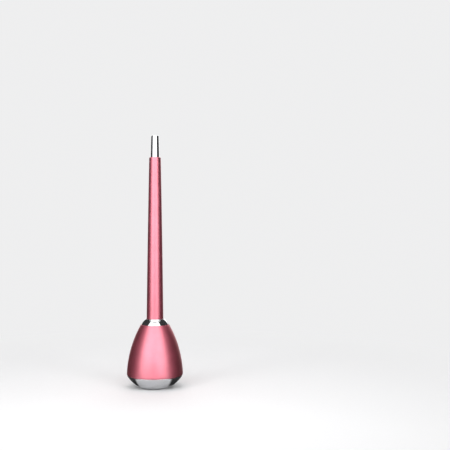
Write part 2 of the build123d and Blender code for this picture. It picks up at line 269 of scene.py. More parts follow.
def rounded_outline(*runs):
    """An outline in radius and height whose corners are rounded by tangent arcs.

    Each corner is radius, height and rounding. The arc starts and ends rounding / tan(half the angle)
    from the corner, and its points turn evenly about the arc's centre. It takes up no more than the
    fillet room's share of the shorter run. A point held close beside each end keeps the flat runs flat.
    Returns radius, height and a mask that is 1 in the middle of a rounded outer edge that turns by the
    full bend or more.
    """
    corners = np.vstack(runs)
    here = corners[:, :2]
    to_last = np.roll(here, 1, axis=0) - here
    to_next = np.roll(here, -1, axis=0) - here
    last_run = np.hypot(*to_last.T)[:, None] + tiny_length
    next_run = np.hypot(*to_next.T)[:, None] + tiny_length
    last_way = to_last / last_run
    next_way = to_next / next_run
    half_angle = np.arccos(np.clip((last_way * next_way).sum(1), -1, 1))[:, None] / 2
    room = fillet_room * np.minimum(last_run, next_run)
    cut = np.minimum(corners[:, 2:] / np.tan(half_angle), room)
    arc_radius = cut * np.tan(half_angle)
    middle_way = last_way + next_way
    middle_way /= np.hypot(*middle_way.T)[:, None] + tiny_length
    centre = here + middle_way * arc_radius / np.sin(half_angle)
    start = here + last_way * cut - centre
    end = here + next_way * cut - centre
    turn = pi - 2 * half_angle
    step = np.linspace(0, 1, fillet_steps + 1)[None, :]
    weight_sum = np.sin(turn) + tiny_weight
    start_weight = np.sin((1 - step) * turn) / weight_sum
    end_weight = np.sin(step * turn) / weight_sum
    arcs = centre[:, None] + start_weight[..., None] * start[:, None] + end_weight[..., None] * end[:, None]
    held = np.where(cut > 0, np.minimum(holding_gap, room * holding_share), 0)
    before = (here + last_way * (cut + held))[:, None]
    after = (here + next_way * (cut + held))[:, None]
    points = np.concatenate([before, arcs, after], axis=1)
    outer = last_way[:, 1] * next_way[:, 0] - last_way[:, 0] * next_way[:, 1] < 0
    bend = outer * (cut[:, 0] > 0) * np.clip(turn[:, 0] / full_bend, 0, 1)
    mask = np.pad(bend[:, None] * np.sin(pi * step), ((0, 0), (1, 1)))
    points = points.reshape(-1, 2)
    mask = mask.reshape(-1)
    far_point = points[:1] + 1.0
    kept = np.hypot(*np.diff(points, axis=0, prepend=far_point).T) > weld_distance
    return points[kept, 0], points[kept, 1], mask[kept]


def grid_quads(rows, columns, wrap_rows, wrap_columns):
    """Corner numbers of the faces between neighbouring rows and columns of a grid of points."""
    row = np.arange(rows if wrap_rows else rows - 1)[:, None]
    column = np.arange(columns if wrap_columns else columns - 1)[None, :]
    next_row = (row + 1) % rows * columns
    next_column = (column + 1) % columns
    row = row * columns
    corners = [row + column, row + next_column, next_row + next_column, next_row + column]
    return np.stack(np.broadcast_arrays(*corners), axis=-1).reshape(-1, 4)


def add_object(name, data):
    """An object of the scene that holds a mesh, a lamp or a camera."""
    holder = bpy.data.objects.new(name, data)
    bpy.context.scene.collection.objects.link(holder)
    return holder


def new_piece(name, points, quads, edge):
    """A smooth mesh object of the points and faces.

    Points that fall together are joined, and a face that this narrows becomes a triangle. The edge
    mask is kept as an attribute for the finishes.
    """
    keys = np.round(points / weld_distance).astype(np.int64)
    first, joined = np.unique(keys, axis=0, return_index=True, return_inverse=True)[1:]
    quads = joined.reshape(-1)[quads]
    doubled = quads == np.roll(quads, -1, axis=1)
    narrow = doubled.sum(axis=1) == 1
    triangles = quads[narrow][~doubled[narrow]].reshape(-1, 3)
    mesh = bpy.data.meshes.new(name)
    faces = quads[~doubled.any(axis=1)].tolist() + triangles.tolist()
    mesh.from_pydata(points[first].tolist(), [], faces)
    mask = mesh.attributes.new("edge", "FLOAT", "POINT")
    mask.data.foreach_set("value", edge[first].astype(np.float32))
    mesh.shade_smooth()
    mesh.update()
    return add_object(name, mesh)


def turned(name, outline, around=segments, closed=True, cut=None):
    """A piece turned on the Z axis.

    At angle a, a point of the outline lies at x = radius cos a, y = radius sin a and its height. The
    outline runs with the piece on its left. It is a loop, or starts and ends on the axis. A cut gives
    each point a new radius from its radius, height and angle.
    """
    radius, height, edge = (column[:, None] for column in outline)
    angle = np.linspace(0, 2 * pi, around, endpoint=False)[None, :]
    if cut:
        radius = cut(radius, height, angle)
    x = radius * np.cos(angle)
    y = radius * np.sin(angle)
    points = np.stack(np.broadcast_arrays(x, y, height), axis=-1)
    quads = grid_quads(*points.shape[:2], closed, True)
    edge = np.broadcast_to(edge, points.shape[:2])
    return new_piece(name, points.reshape(-1, 3), quads, edge.reshape(-1))


def bell_side():
    """Points of the bell's swelling side, from foot to crown."""
    return bulged((bell_foot_radius, bell_low), (bell_crown_radius, bell_top), bell_swell, bell_rows)


def bell():
    """The stand's shell: a swelling arc from foot to crown, bevelled at the foot and hollow inside."""
    side = bell_side()
    inside = side[::-1] - [bell_wall, 0, 0]
    side = side[side[:, 1] > bell_low + bell_edge_height]
    side[0, 2] = fine_edge
    side[-1, 2] = soft_edge
    flange_low = bell_top - bell_flange
    inside = inside[inside[:, 1] < flange_low]
    inside[0, 1] = flange_low
    inside[[0, -1], 2] = crisp_edge
    outline = rounded_outline(
        (bell_foot_radius - bell_edge_inset, bell_low, fine_edge),
        side,
        (bell_hole_radius, bell_top, crisp_edge),
        (bell_hole_radius, flange_low, crisp_edge),
        inside,
    )
    return turned("satin_bell", outline)


def collar():
    """The stand's mouth: a low crowned cone, bored out for the barrel, with a spigot into the bell."""
    lip = (collar_lip_radius, collar_top)
    side = bulged((collar_foot_radius, bell_top), lip, collar_crown, collar_rows)
    side[0, 2] = crisp_edge
    side[-1, 2] = fine_edge
    outline = rounded_outline(
        (socket_radius, spigot_low, crisp_edge),
        (spigot_radius, spigot_low, soft_edge),
        (spigot_radius, bell_top, hair_edge),
        side,
        (counterbore_radius, collar_top, fine_edge),
        (counterbore_radius, seat_low, crisp_edge),
        (passage_radius, seat_low, crisp_edge),
        (passage_radius, liner_high, crisp_edge),
        (socket_radius, liner_high, crisp_edge),
    )
    return turned("polished_collar", outline)


def base_arc(inset, low, high, count):
    """Points of the base's rounded side between two heights, drawn in by the inset.

    The side is a circular arc that swells off the straight run from land to rim. Its centre lies the
    circle's radius less the swell behind the middle of the run.
    """
    land = np.array([land_radius, land_height])
    half_run = (np.array([rim_radius, rim_low]) - land) / 2
    h = np.hypot(*half_run)
    rounding = circle_radius(h, base_swell)
    inwards = np.array([-half_run[1], half_run[0]]) / h
    centre_radius, centre_height = land + half_run + inwards * (rounding - base_swell)
    height = np.linspace(low, high, count)
    radius = centre_radius + np.sqrt((rounding - inset) ** 2 - (height - centre_height) ** 2)
    return np.stack([radius, height, np.zeros(count)], axis=1)


def base():
    """The base: a rounded side, a level rim and a ring that locates the bell, with recesses below."""
    side = base_arc(0, land_height, rim_low, base_rows)
    side[[0, -1], 2] = [soft_edge, fine_edge]
    inside = base_arc(base_wall, base_floor, rim_low, inside_rows)[::-1]
    inside[[0, -1], 2] = crisp_edge
    ring_inner_radius = inside[0, 0]
    locating = bell_side()
    ring_top_radius = np.interp(ring_high, locating[:, 1], locating[:, 0]) - bell_wall - push_fit
    ring_foot_radius = bell_foot_radius - bell_wall - push_fit
    outline = rounded_outline(
        (pad_recess_radius, land_height, fine_edge),
        side,
        (rim_radius, bell_low, fine_edge),
        (ring_foot_radius, bell_low, crisp_edge),
        (ring_top_radius, ring_high, fine_edge),
        (ring_inner_radius, ring_high, fine_edge),
        inside,
        (toe_hole_radius, base_floor, crisp_edge),
        (toe_hole_radius, nut_high, crisp_edge),
        (nut_recess_radius, nut_high, crisp_edge),
        (nut_recess_radius, pad_top, crisp_edge),
        (pad_recess_radius, pad_top, crisp_edge),
    )
    return turned("polished_base", outline)


def foot():
    """The rubber foot: a disc with rings sunk into its underside, at one pitch from the middle out."""
    middle = pad_groove_pitch * np.arange(1, pad_grooves + 1)[:, None]
    half_width = pad_groove_width / 2
    half_floor = half_width - pad_groove_depth
    across = np.array([-half_width, -half_floor, half_floor, half_width])
    depth = pad_low + pad_groove_depth * np.array([0, 1, 1, 0])
    groove_radius = (middle + across).reshape(-1)
    groove_height = np.tile(depth, pad_grooves)
    rounding = np.full(groove_radius.size, hair_edge)
    grooves = np.stack([groove_radius, groove_height, rounding], axis=1)
    outline = rounded_outline(
        (0, pad_low, 0),
        grooves,
        (pad_radius, pad_low, pad_edge),
        (pad_radius, pad_top, fine_edge),
        (0, pad_top, 0),
    )
    return turned("ribbed_foot", outline, small_segments, closed=False)


def liner():
    """The well liner: a stepped cup, wide for the grip, narrow for the nib, with a flange on top."""
    floor = liner_low + liner_wall
    step_high = liner_step_low + liner_wall
    outline = rounded_outline(
        (0, liner_low, 0),
        (liner_toe_radius, liner_low, soft_edge),
        (liner_toe_radius, liner_step_low, fine_edge),
        (liner_radius, liner_step_low, soft_edge),
        (liner_radius, liner_flange_low, crisp_edge),
        (liner_flange_radius, liner_flange_low, fine_edge),
        (liner_flange_radius, liner_high, fine_edge),
        (passage_radius, liner_high, fine_edge),
        (passage_radius, step_high, soft_edge),
        (liner_toe_bore_radius, step_high, soft_edge),
        (liner_toe_bore_radius, floor, soft_edge),
        (0, floor, 0),
    )
    return turned("moulded_liner", outline, small_segments, closed=False)


def seat():
    """The nylon ring that the barrel's end rests on: a flat ring with rounded edges."""
    outline = rounded_outline(
        (passage_radius, seat_low, fine_edge),
        (seat_radius, seat_low, fine_edge),
        (seat_radius, joint, fine_edge),
        (passage_radius, joint, fine_edge),
    )
    return turned("nylon_seat", outline, small_segments)


def joint_ring():
    """The polished ring between grip and barrel: a plain band with broken edges."""
    outline = rounded_outline(
        (tenon_bore, ring_low, crisp_edge),
        (ring_radius, ring_low, fine_edge),
        (ring_radius, joint, crisp_edge),
        (tenon_bore, joint, crisp_edge),
    )
    return turned("polished_joint_ring", outline)


def grip_taper(height):
    """Radius of the grip's straight taper at a height."""
    return np.interp(height, [grip_front, grip_top], [grip_front_radius, grip_top_radius])


def grip():
    """The polished grip: a straight taper with one fine turned groove near the nib."""
    groove_low = grip_groove_height - grip_groove_width / 2
    groove_high = grip_groove_height + grip_groove_width / 2
    outline = rounded_outline(
        (grip_bore_radius, grip_front, fine_edge),
        (grip_front_radius, grip_front, soft_edge),
        (grip_taper(groove_low), groove_low, hair_edge),
        (grip_taper(grip_groove_height) - grip_groove_depth, grip_groove_height, hair_edge),
        (grip_taper(groove_high), groove_high, hair_edge),
        (grip_top_radius, grip_top, fine_edge),
        (tenon_bore, grip_top, crisp_edge),
        (tenon_bore, core_low, crisp_edge),
        (grip_bore_radius, core_low, crisp_edge),
    )
    return turned("polished_grip", outline)


def screw_thread(radius, height, angle):
    """Cut a right-hand thread into the core.

    The phase is the height in pitches less the angle in turns, so the groove climbs one pitch in a
    turn. The radius sinks with the cosine of the phase from the crest to the tenon's radius and is held
    level at both. The groove fades in and out over half a pitch at its two ends.
    """
    phase = (height - thread_low) / thread_pitch - angle / (2 * pi)
    groove = np.clip(groove_mean - groove_swing * np.cos(2 * pi * phase), 0, 1)
    ends = np.minimum(height - thread_low, thread_high - height) / (thread_pitch / 2)
    on_thread = (radius > tenon_radius + crisp_edge) * np.clip(ends, 0, 1)
    return radius - (thread_radius - tenon_radius) * groove * on_thread


def core():
    """The section's core: tenon for grip and ring, the barrel's thread, a pilot and the ink nipple."""
    lead_in = thread_radius - pilot_radius
    rows = thread_turns * rows_per_turn
    height = np.linspace(thread_low + fine_edge, thread_high - lead_in, rows)
    thread = np.stack([np.full(rows, thread_radius), height, np.zeros(rows)], axis=1)
    outline = rounded_outline(
        (ink_channel_radius, core_low, crisp_edge),
        (tenon_radius, core_low, fine_edge),
        (tenon_radius, thread_low, hair_edge),
        (thread_radius, thread_low, crisp_edge),
        thread,
        (pilot_radius, thread_high, crisp_edge),
        (pilot_radius, core_high, fine_edge),
        (core_bore_radius, core_high, fine_edge),
        (core_bore_radius, core_floor, crisp_edge),
        (nipple_radius, core_floor, crisp_edge),
        (nipple_radius, nipple_top, soft_edge),
        (ink_channel_radius, nipple_top, fine_edge),
    )
    return turned("threaded_core", outline, cut=screw_thread)


def seal():
    """The rubber seal ring: a small circle turned about the axis."""
    ring_half = (seal_high - seal_low) / 2
    angle = np.linspace(0, 2 * pi, seal_points, endpoint=False)
    radius = seal_reach - ring_half + ring_half * np.cos(angle)
    height = seal_low + ring_half + ring_half * np.sin(angle)
    return turned("seal_ring", (radius, height, np.zeros(angle.size)), small_segments)


def barrel():
    """The barrel: a long taper with a faint swell, bevelled at the joint and bored from both ends."""
    front = (barrel_front_radius, barrel_low + barrel_lip_height)
    rear = (barrel_rear_radius, barrel_top - barrel_edge)
    side = bulged(front, rear, barrel_swell, barrel_rows)
    side[[0, -1], 2] = fine_edge
    outline = rounded_outline(
        (0, cavity_top, 0),
        (cavity_radius, cavity_top, soft_edge),
        (cavity_radius, bush_high, crisp_edge),
        (barrel_bore_radius, bush_high, crisp_edge),
        (barrel_bore_radius, barrel_low, crisp_edge),
        (barrel_front_radius - barrel_lip_inset, barrel_low, crisp_edge),
        side,
        (barrel_rear_radius - barrel_edge, barrel_top, crisp_edge),
        (spigot_hole_radius, barrel_top, crisp_edge),
        (spigot_hole_radius, finial_low, crisp_edge),
        (0, finial_low, 0),
    )
    return turned("satin_barrel", outline, closed=False)


def finial():
    """The polished end of the pen: a slim taper with a rounded top, on a spigot in the barrel."""
    outline = rounded_outline(
        (0, finial_low, 0),
        (finial_spigot_radius, finial_low, fine_edge),
        (finial_spigot_radius, barrel_top, hair_edge),
        (finial_radius, barrel_top, crisp_edge),
        (finial_tip_radius, finial_top, finial_rounding),
        (0, finial_top, 0),
    )
    return turned("polished_finial", outline, closed=False)


def nib_hollow(height):
    """Radius of the hollow under the nib: even at the tail, wide at the shoulder, narrow at the tip."""
    heights = [nib_tip, nib_shoulder_height, nib_straight_low]
    return np.interp(height, heights, [nib_tip_radius, nib_shoulder_radius, nib_base_radius])


def nib_half_width_at(height):
    """Half the nib's width at a height, from its flat outline with rounded shoulder and neck."""
    half_width, along, _ = rounded_outline(
        (0, nib_tip, 0),
        (nib_tip_half_width, nib_tip, nib_tip_rounding),
        (nib_neck_half_width, nib_neck_height, nib_neck_rounding),
        (nib_half_width, nib_shoulder_height, nib_shoulder_rounding),
        (nib_tail_half_width, grip_front, soft_edge),
        (nib_tail_half_width, nib_tail, 0),
        (0, nib_tail, 0),
    )
    off_axis = slice(1, -1)
    return np.interp(height, along[off_axis], half_width[off_axis])


def nib():
    """The nib: a sheet curved about the axis, drawn in the flat as a leaf with a breather hole and a slit.

    A point at distance x from the middle lies at angle arcsin(x / outer radius) on both faces, so the
    edges stand square to the sheet. At each height a half is a loop: the upper face from the slit or
    the breather to the side, and the lower face back. The halves meet in the middle above the
    breather. A small pellet thickens the point below. The edge mask is a high power of the share of
    the way to the side.
    """
    along = np.linspace(nib_tip, nib_tail, nib_rows)
    around_breather = breather_height + breather_radius * np.cos(np.linspace(0, pi, breather_rows))
    tip_end = nib_tip + np.linspace(0, nib_tip_rounding, nib_tip_rows)
    slit_end = [breather_height - hair_edge]
    height = np.unique(np.concatenate([along, around_breather, tip_end, slit_end]))[:, None]
    half_width = nib_half_width_at(height)
    hole = np.sqrt(np.clip(breather_radius**2 - (height - breather_height) ** 2, 0, None))
    middle = np.maximum(hole, np.where(height < breather_height, slit_half_width, 0))
    share = np.linspace(0, 1, nib_columns)[None, :]
    across = middle + (half_width - middle) * share
    lower_radius = nib_hollow(height)
    upper_radius = lower_radius + nib_thickness
    from_tip = np.clip((height - nib_tip) / pellet_length - 1, -1, 0)
    pellet = pellet_depth * np.sqrt(1 - from_tip**2) * (height < nib_tip + pellet_length)
    angle = np.arcsin(across / upper_radius)
    angle = np.hstack([angle, angle[:, ::-1]])
    upper = np.broadcast_to(upper_radius, across.shape)
    lower = np.broadcast_to(lower_radius - pellet, across.shape)
    radius = np.hstack([upper, lower])
    x = radius * np.sin(angle)
    y = -radius * np.cos(angle)
    right = np.stack(np.broadcast_arrays(x, y, height), axis=-1)
    rows, columns = angle.shape
    quads = grid_quads(rows, columns, False, True).reshape(rows - 1, columns, 4)
    parted = ((middle[:-1] > 0) | (middle[1:] > 0)).reshape(-1)
    sides = np.concatenate([quads[:, :-1].reshape(-1, 4), quads[parted, -1]])
    upper_column = np.arange(columns // 2 - 1)
    lower_column = columns - 1 - upper_column
    tip_cap = np.stack([upper_column + 1, upper_column, lower_column, lower_column - 1], axis=1)
    tail_cap = tip_cap[:, ::-1] + (rows - 1) * columns
    right_quads = np.concatenate([sides, tip_cap, tail_cap])
    left_quads = right_quads[:, ::-1] + rows * columns
    left = right * [-1, 1, 1]
    points = np.concatenate([right.reshape(-1, 3), left.reshape(-1, 3)])
    rim = np.hstack([share, share[:, ::-1]]) ** nib_rim_power
    edge = np.tile(np.broadcast_to(rim, angle.shape).reshape(-1), 2)
    return new_piece("pressed_nib", points, np.concatenate([right_quads, left_quads]), edge)


def feed():
    """The finned feed under the nib.

    At each height the section is drawn over x, which runs as the half-width times the sine of an even
    angle. Its upper side is the nib's hollow. Its lower side is the lowest of the hollow, the belly's
    circle, the slope of the nose and, between the fins, the comb's root circle.
    """
    fin_high = grip_front - fin_start - fin_pitch * np.arange(fin_count)
    walls = np.concatenate([fin_high, fin_high - fin_gap])
    along = np.linspace(feed_low, feed_top, feed_rows)
    height = np.unique(np.concatenate([along, walls - fin_wall_half, walls + fin_wall_half]))[:, None]
    hollow = nib_hollow(height) - feed_inset
    nose_end = feed_nose_height - hollow[0, 0]
    slope = np.interp(height, [feed_low, feed_nose_start], [nose_end, nib_half_width])
    slope = np.where(height < feed_nose_start, slope, nib_half_width)
    half_width = np.sqrt(hollow**2 - np.minimum(slope, 0) ** 2)
    x = half_width * np.sin(np.linspace(-pi / 2, pi / 2, feed_columns))[None, :]
    upper = -np.sqrt(np.clip(hollow**2 - x**2, 0, None))
    belly = np.sqrt(np.clip(nib_shoulder_radius**2 - x**2, 0, None)) - feed_belly_drop
    root_radius = nib_shoulder_radius - feed_belly_drop - fin_depth
    root = np.sqrt(np.clip(root_radius**2 - x**2, 0, None))
    in_gap = ((height < fin_high) & (height > fin_high - fin_gap)).any(axis=1, keepdims=True)
    lower = np.minimum(np.minimum(-upper, belly), slope)
    lower = np.where(in_gap, np.minimum(lower, root), lower)
    lower = np.maximum(lower, upper)
    loop_x = np.hstack([x, x[:, -2:0:-1]])
    loop_y = np.hstack([upper, lower[:, -2:0:-1]])
    points = np.stack(np.broadcast_arrays(loop_x, loop_y, height), axis=-1)
    rows, columns = loop_x.shape
    quads = grid_quads(rows, columns, False, True)
    upper_column = np.arange(x.shape[1] - 1)
    lower_column = (columns - upper_column) % columns
    lower_next = columns - 1 - upper_column
    end_cap = np.stack([upper_column + 1, upper_column, lower_column, lower_next], axis=1)
    top_cap = end_cap[:, ::-1] + (rows - 1) * columns
    quads = np.concatenate([quads, end_cap, top_cap])
    return new_piece("finned_feed", points.reshape(-1, 3), quads, np.zeros(rows * columns))


def add_node(tree, kind, feeds=None, **settings):
    """Add a node, set its options, and give its sockets a value or a link from another socket."""
    node = tree.nodes.new(kind)
    for option, value in settings.items():
        setattr(node, option, value)
    for socket, feed_in in (feeds or {}).items():
        if isinstance(feed_in, bpy.types.NodeSocket):
            tree.links.new(feed_in, node.inputs[socket])
        else:
            node.inputs[socket].default_value = feed_in
    return node


def math_node(tree, operation, *values):
    """The output of a Math node for the values or sockets given."""
    return add_node(tree, "ShaderNodeMath", dict(enumerate(values)), operation=operation).outputs[0]


def ramp_node(tree, value, low, high, to_low=0.0, to_high=1.0):
    """A value carried smoothly from one range to another and held at its ends."""
    feeds = {"Value": value, "From Min": low, "From Max": high, "To Min": to_low, "To Max": to_high}
    return add_node(tree, "ShaderNodeMapRange", feeds, interpolation_type="SMOOTHSTEP").outputs["Result"]


def between(tree, share, start, end):
    """A value that goes smoothly from start to end as the share goes from 0 to 1."""
    return ramp_node(tree, share, 0.0, 1.0, start, end)


def noise_node(tree, place, scale, detail=3.0, roughness=0.55):
    """The value of a noise texture at a place."""
    feeds = {"Vector": place, "Scale": scale, "Detail": detail, "Roughness": roughness}
    return add_node(tree, "ShaderNodeTexNoise", feeds).outputs["Fac"]


def tint_node(tree, share, first, second):
    """A colour between two, by the share of the second."""
    feeds = {0: share, 6: first, 7: second}
    return add_node(tree, "ShaderNodeMix", feeds, data_type="RGBA").outputs[2]


def object_place(tree):
    """The place on the piece, in the frame of the whole object."""
    return add_node(tree, "ShaderNodeTexCoord").outputs["Object"]


def new_group(name, inputs, outputs):
    """An empty shader group with float sockets, and the nodes that hold its inputs and outputs."""
    group = bpy.data.node_groups.new(name, "ShaderNodeTree")
    for socket, value in inputs.items():
        taken = group.interface.new_socket(socket, in_out="INPUT", socket_type="NodeSocketFloat")
        taken.default_value = value
    for socket in outputs:
        group.interface.new_socket(socket, in_out="OUTPUT", socket_type="NodeSocketFloat")
    given = add_node(group, "NodeGroupInput").outputs
    return group, given, add_node(group, "NodeGroupOutput")


def blasted_grain():
    """Fine pits of a blasted or moulded skin, and a slow mottle over many of them."""
    group, given, made = new_group("blasted_grain", {"Pits per metre": 4000.0}, ["Height", "Mottle"])
    place = object_place(group)
    rough = noise_node(group, place, given["Pits per metre"], detail=2.0)
    pits = add_node(group, "ShaderNodeTexVoronoi", {"Vector": place, "Scale": given["Pits per metre"]})
    height = math_node(group, "ADD", rough, pits.outputs["Distance"])
    mottles_per_pit = 0.035
    slow_scale = math_node(group, "MULTIPLY", given["Pits per metre"], mottles_per_pit)
    mottle = ramp_node(group, noise_node(group, place, slow_scale, detail=4.0), low=0.3, high=0.7)
    group.links.new(height, made.inputs["Height"])
    group.links.new(mottle, made.inputs["Mottle"])
    return group


def handling_marks():
    """Patches where hands have left a faint film, broken up by finer noise."""
    group, given, made = new_group("handling_marks", {"Patches per metre": 90.0}, ["Film"])
    place = object_place(group)
    spots_per_patch = 9.0
    patch = noise_node(group, place, given["Patches per metre"], detail=2.0)
    fine_scale = math_node(group, "MULTIPLY", given["Patches per metre"], spots_per_patch)
    fine = noise_node(group, place, fine_scale)
    patches = ramp_node(group, patch, low=0.42, high=0.68)
    spots = ramp_node(group, fine, low=0.3, high=0.65)
    film = math_node(group, "MULTIPLY", patches, spots)
    group.links.new(film, made.inputs["Film"])
    return group


def edge_wear():
    """Where rounded outer edges have rubbed: the edge mask of the piece, broken up by noise."""
    group, given, made = new_group("edge_wear", {"Breaks per metre": 700.0}, ["Wear"])
    mask = add_node(group, "ShaderNodeAttribute", attribute_name="edge").outputs["Fac"]
    breaks = noise_node(group, object_place(group), given["Breaks per metre"])
    wear = math_node(group, "MULTIPLY", mask, ramp_node(group, breaks, low=0.35, high=0.7))
    group.links.new(wear, made.inputs["Wear"])
    return group


def turning_lines():
    """Fine rings left by turning: noise along the height plus, for level faces, a share of the radius."""
    radius_share = 0.73
    group, given, made = new_group("turning_lines", {"Lines per metre": 9000.0}, ["Height", "Line"])
    place = object_place(group)
    parts = add_node(group, "ShaderNodeSeparateXYZ", {0: place}).outputs
    level = add_node(group, "ShaderNodeCombineXYZ", {"X": parts["X"], "Y": parts["Y"]}).outputs[0]
    radius = add_node(group, "ShaderNodeVectorMath", {0: level}, operation="LENGTH").outputs["Value"]
    along = math_node(group, "ADD", parts["Z"], math_node(group, "MULTIPLY", radius, radius_share))
    count = math_node(group, "MULTIPLY", along, given["Lines per metre"])
    feeds = {"W": count, "Scale": 1.0, "Detail": 2.0}
    lines = add_node(group, "ShaderNodeTexNoise", feeds, noise_dimensions="1D").outputs["Fac"]
    group.links.new(lines, made.inputs["Height"])
    group.links.new(ramp_node(group, lines, low=0.35, high=0.65), made.inputs["Line"])
    return group


grain_group = blasted_grain()
marks_group = handling_marks()
wear_group = edge_wear()
turning_group = turning_lines()


def group_node(tree, group, **values):
    """Place a shared group in a material, with its own values, and return its outputs."""
    feeds = {name.replace("_", " ").capitalize(): value for name, value in values.items()}
    return add_node(tree, "ShaderNodeGroup", feeds, node_tree=group).outputs


def new_finish(name, **constants):
    """A material with one Principled shader, whose even values are set on the shader itself."""
    material = bpy.data.materials.new(name)
    material.use_nodes = True
    shader = material.node_tree.nodes["Principled BSDF"]
    for socket, value in constants.items():
        shader.inputs[socket.replace("_", " ").title().replace("Ior", "IOR")].default_value = value
    return material, material.node_tree, shader


def feed_shader(tree, shader, height=None, bump=0.0, depth=0.0, **feeds):
    """Link varying values into the shader, and a height into its normal through a bump of that depth."""
    for socket, value in feeds.items():
        tree.links.new(value, shader.inputs[socket.replace("_", " ").title()])
    if height is not None:
        bumped = add_node(tree, "ShaderNodeBump", {"Strength": bump, "Distance": depth, "Height": height})
        tree.links.new(bumped.outputs["Normal"], shader.inputs["Normal"])


def pink_anodised():
    """Satin aluminium, blasted and dyed pink: deeper red at a slant, paler where edges have rubbed."""
    deep_dye = (0.62, 0.066, 0.130, 1)
    pale_dye = (0.68, 0.082, 0.152, 1)
    rubbed_dye = (0.90, 0.62, 0.66, 1)
    rubbed_share = 0.45
    material, tree, shader = new_finish(
        "pink_anodised",
        metallic=1.0,
        specular_tint=(0.62, 0.12, 0.18, 1),
        coat_weight=1.0,
        coat_ior=2.25,
        coat_roughness=0.40,
    )
    grain = group_node(tree, grain_group, pits_per_metre=3600.0)
    film = group_node(tree, marks_group, patches_per_metre=70.0)["Film"]
    wear = group_node(tree, wear_group, breaks_per_metre=500.0)["Wear"]
    dye = tint_node(tree, grain["Mottle"], deep_dye, pale_dye)
    colour = tint_node(tree, math_node(tree, "MULTIPLY", wear, rubbed_share), dye, rubbed_dye)
    roughness = between(tree, film, start=0.50, end=0.44)
    pits = grain["Height"]
    feed_shader(tree, shader, pits, bump=0.10, depth=0.02 * mm, base_color=colour, roughness=roughness)
    return material


def chrome_plate():
    """Polished plate: a bright mirror with a faint film of handling and hardly visible turning rings."""
    clean_plate = (0.62, 0.625, 0.64, 1)
    filmed_plate = (0.57, 0.57, 0.58, 1)
    rubbed_plate = (0.68, 0.67, 0.66, 1)
    material, tree, shader = new_finish("chrome_plate", metallic=1.0)
    film = group_node(tree, marks_group, patches_per_metre=110.0)["Film"]
    turning = group_node(tree, turning_group, lines_per_metre=7000.0)
    wear = group_node(tree, wear_group, breaks_per_metre=900.0)["Wear"]
    plate = tint_node(tree, film, clean_plate, filmed_plate)
    colour = tint_node(tree, math_node(tree, "MULTIPLY", wear, 0.5), plate, rubbed_plate)
    roughness = between(tree, film, start=0.055, end=0.13)
    rings = turning["Height"]
    feed_shader(tree, shader, rings, bump=0.012, depth=0.01 * mm, base_color=colour, roughness=roughness)
    return material


def nib_steel():
    """Satin nib steel, lightly brushed along its length."""
    dull_steel = (0.50, 0.497, 0.495, 1)
    bright_steel = (0.58, 0.577, 0.575, 1)
    rubbed_steel = (0.66, 0.66, 0.66, 1)
    brushing = (1.0, 1.0, 0.04)
    material, tree, shader = new_finish("nib_steel", metallic=1.0)
    stretch = add_node(tree, "ShaderNodeMapping", {"Vector": object_place(tree), "Scale": brushing})
    brushed = noise_node(tree, stretch.outputs[0], scale=9000.0, detail=2.0)
    film = group_node(tree, marks_group, patches_per_metre=300.0)["Film"]
    wear = group_node(tree, wear_group, breaks_per_metre=1500.0)["Wear"]
    steel = tint_node(tree, ramp_node(tree, brushed, low=0.3, high=0.7), dull_steel, bright_steel)
    colour = tint_node(tree, wear, steel, rubbed_steel)
    roughness = between(tree, film, start=0.34, end=0.42)
    feed_shader(tree, shader, brushed, bump=0.05, depth=0.01 * mm, base_color=colour, roughness=roughness)
    return material


def moulded(name, dark, pale, smooth, rough, pits, depth, sheen=0.0):
    """A moulded skin: two near shades by its mottle, fine pits, and a shine that handling changes."""
    material, tree, shader = new_finish(name, sheen_weight=sheen)
    grain = group_node(tree, grain_group, pits_per_metre=pits)
    film = group_node(tree, marks_group, patches_per_metre=120.0)["Film"]
    wear = group_node(tree, wear_group, breaks_per_metre=800.0)["Wear"]
    skin = tint_node(tree, grain["Mottle"], (*dark, 1), (*pale, 1))
    rubbed_gain = 2.2
    rubbed_skin = tuple(min(1.0, rubbed_gain * part) for part in pale)
    colour = tint_node(tree, math_node(tree, "MULTIPLY", wear, 0.5), skin, (*rubbed_skin, 1))
    roughness = between(tree, film, start=rough, end=smooth)
    height = grain["Height"]
    feed_shader(tree, shader, height, bump=0.25, depth=depth, base_color=colour, roughness=roughness)
    return material


def turned_metal(name, dark, pale, smooth, rough, lines):
    """A bare turned metal: rings of two near shades, with a film of handling over them."""
    material, tree, shader = new_finish(name, metallic=1.0)
    turning = group_node(tree, turning_group, lines_per_metre=lines)
    film = group_node(tree, marks_group, patches_per_metre=140.0)["Film"]
    colour = tint_node(tree, turning["Line"], (*dark, 1), (*pale, 1))
    roughness = between(tree, film, start=smooth, end=rough)
    rings = turning["Height"]
    feed_shader(tree, shader, rings, bump=0.15, depth=0.02 * mm, base_color=colour, roughness=roughness)
    return material


def clear_plastic():
    """The converter's clear tube: glossy, with a faint cool tint and a film that dulls it in patches."""
    material, tree, shader = new_finish("clear_plastic", transmission_weight=1.0, ior=1.49)
    film = group_node(tree, marks_group, patches_per_metre=160.0)["Film"]
    clean_tint = (0.95, 0.97, 0.98, 1)
    filmed_tint = (0.90, 0.93, 0.95, 1)
    colour = tint_node(tree, film, clean_tint, filmed_tint)
    feed_shader(tree, shader, base_color=colour, roughness=between(tree, film, start=0.03, end=0.10))
    return material


